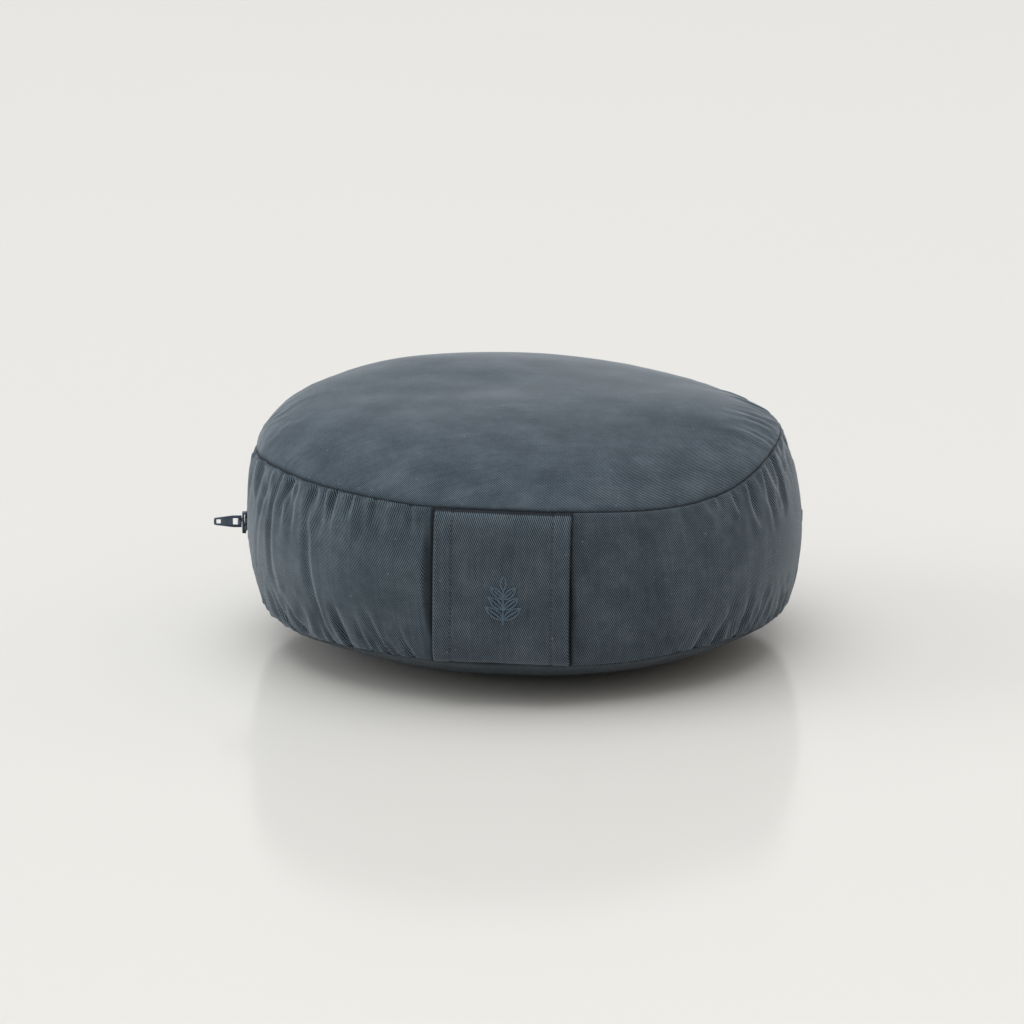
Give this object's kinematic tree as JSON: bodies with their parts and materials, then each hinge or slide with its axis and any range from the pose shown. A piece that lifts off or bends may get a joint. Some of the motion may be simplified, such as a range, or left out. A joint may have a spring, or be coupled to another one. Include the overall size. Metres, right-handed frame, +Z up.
{
  "type": "floor cushion",
  "caption": "Round floor cushion: a filled liner in a twill cover with a full-height side band, a flat carry handle on the front and a zip round the back.",
  "frame": {"origin": "centre of the flat patch that the cushion rests on, on the cushion's upright axis", "axes": "+Z up; -Y to the front, where the carry handle is; -X to the side where the closed zip's slider is; the zip runs round the back (+Y)"},
  "size_m": [0.3579, 0.3391, 0.152],
  "materials": {
    "cover_twill": "matte",
    "handle_twill": "matte",
    "sewing_thread": "matte",
    "liner_cotton": "matte",
    "buckwheat_hulls": "matte",
    "zip_tape": "matte",
    "zip_coil": "satin",
    "lacquered_zinc": "satin"
  },
  "bodies": {
    "cushion": {"cover_top_panel": "cover_twill", "cover_bottom_panel": "cover_twill", "cover_front_band": "cover_twill", "cover_back_band_upper": "cover_twill", "cover_back_band_lower": "cover_twill", "liner_top_panel": "liner_cotton", "liner_bottom_panel": "liner_cotton", "liner_band": "liner_cotton", "hull_fill": "buckwheat_hulls", "handle_strap": "handle_twill", "handle_stitching_left": "sewing_thread", "handle_stitching_right": "sewing_thread", "emblem_embroidery": "sewing_thread", "zip_tape_upper": "zip_tape", "zip_tape_lower": "zip_tape", "zip_coil_upper": "zip_coil", "zip_coil_lower": "zip_coil", "zip_closed_stop_upper": "lacquered_zinc", "zip_closed_stop_lower": "lacquered_zinc", "zip_open_stop": "lacquered_zinc", "zip_topstitch_upper": "sewing_thread", "zip_topstitch_lower": "sewing_thread"},
    "zip_slider": {"zip_slider_body": "lacquered_zinc", "zip_slider_bridge": "lacquered_zinc"},
    "zip_pull_tab": {"zip_pull": "lacquered_zinc"}
  },
  "joints": [
    {"name": "zip_slider_travel", "type": "hinge", "parent": "cushion", "child": "zip_slider", "pos_m": [0, 0, 0.071], "axis": [0, 0, -1], "range_deg": [0, 174]},
    {"name": "zip_pull_swing", "type": "hinge", "parent": "zip_slider", "child": "zip_pull_tab", "pos_m": [-0.1715, -0.0181, 0.071], "axis": [0, 0, 1], "range_deg": [-80, 80]}
  ]
}
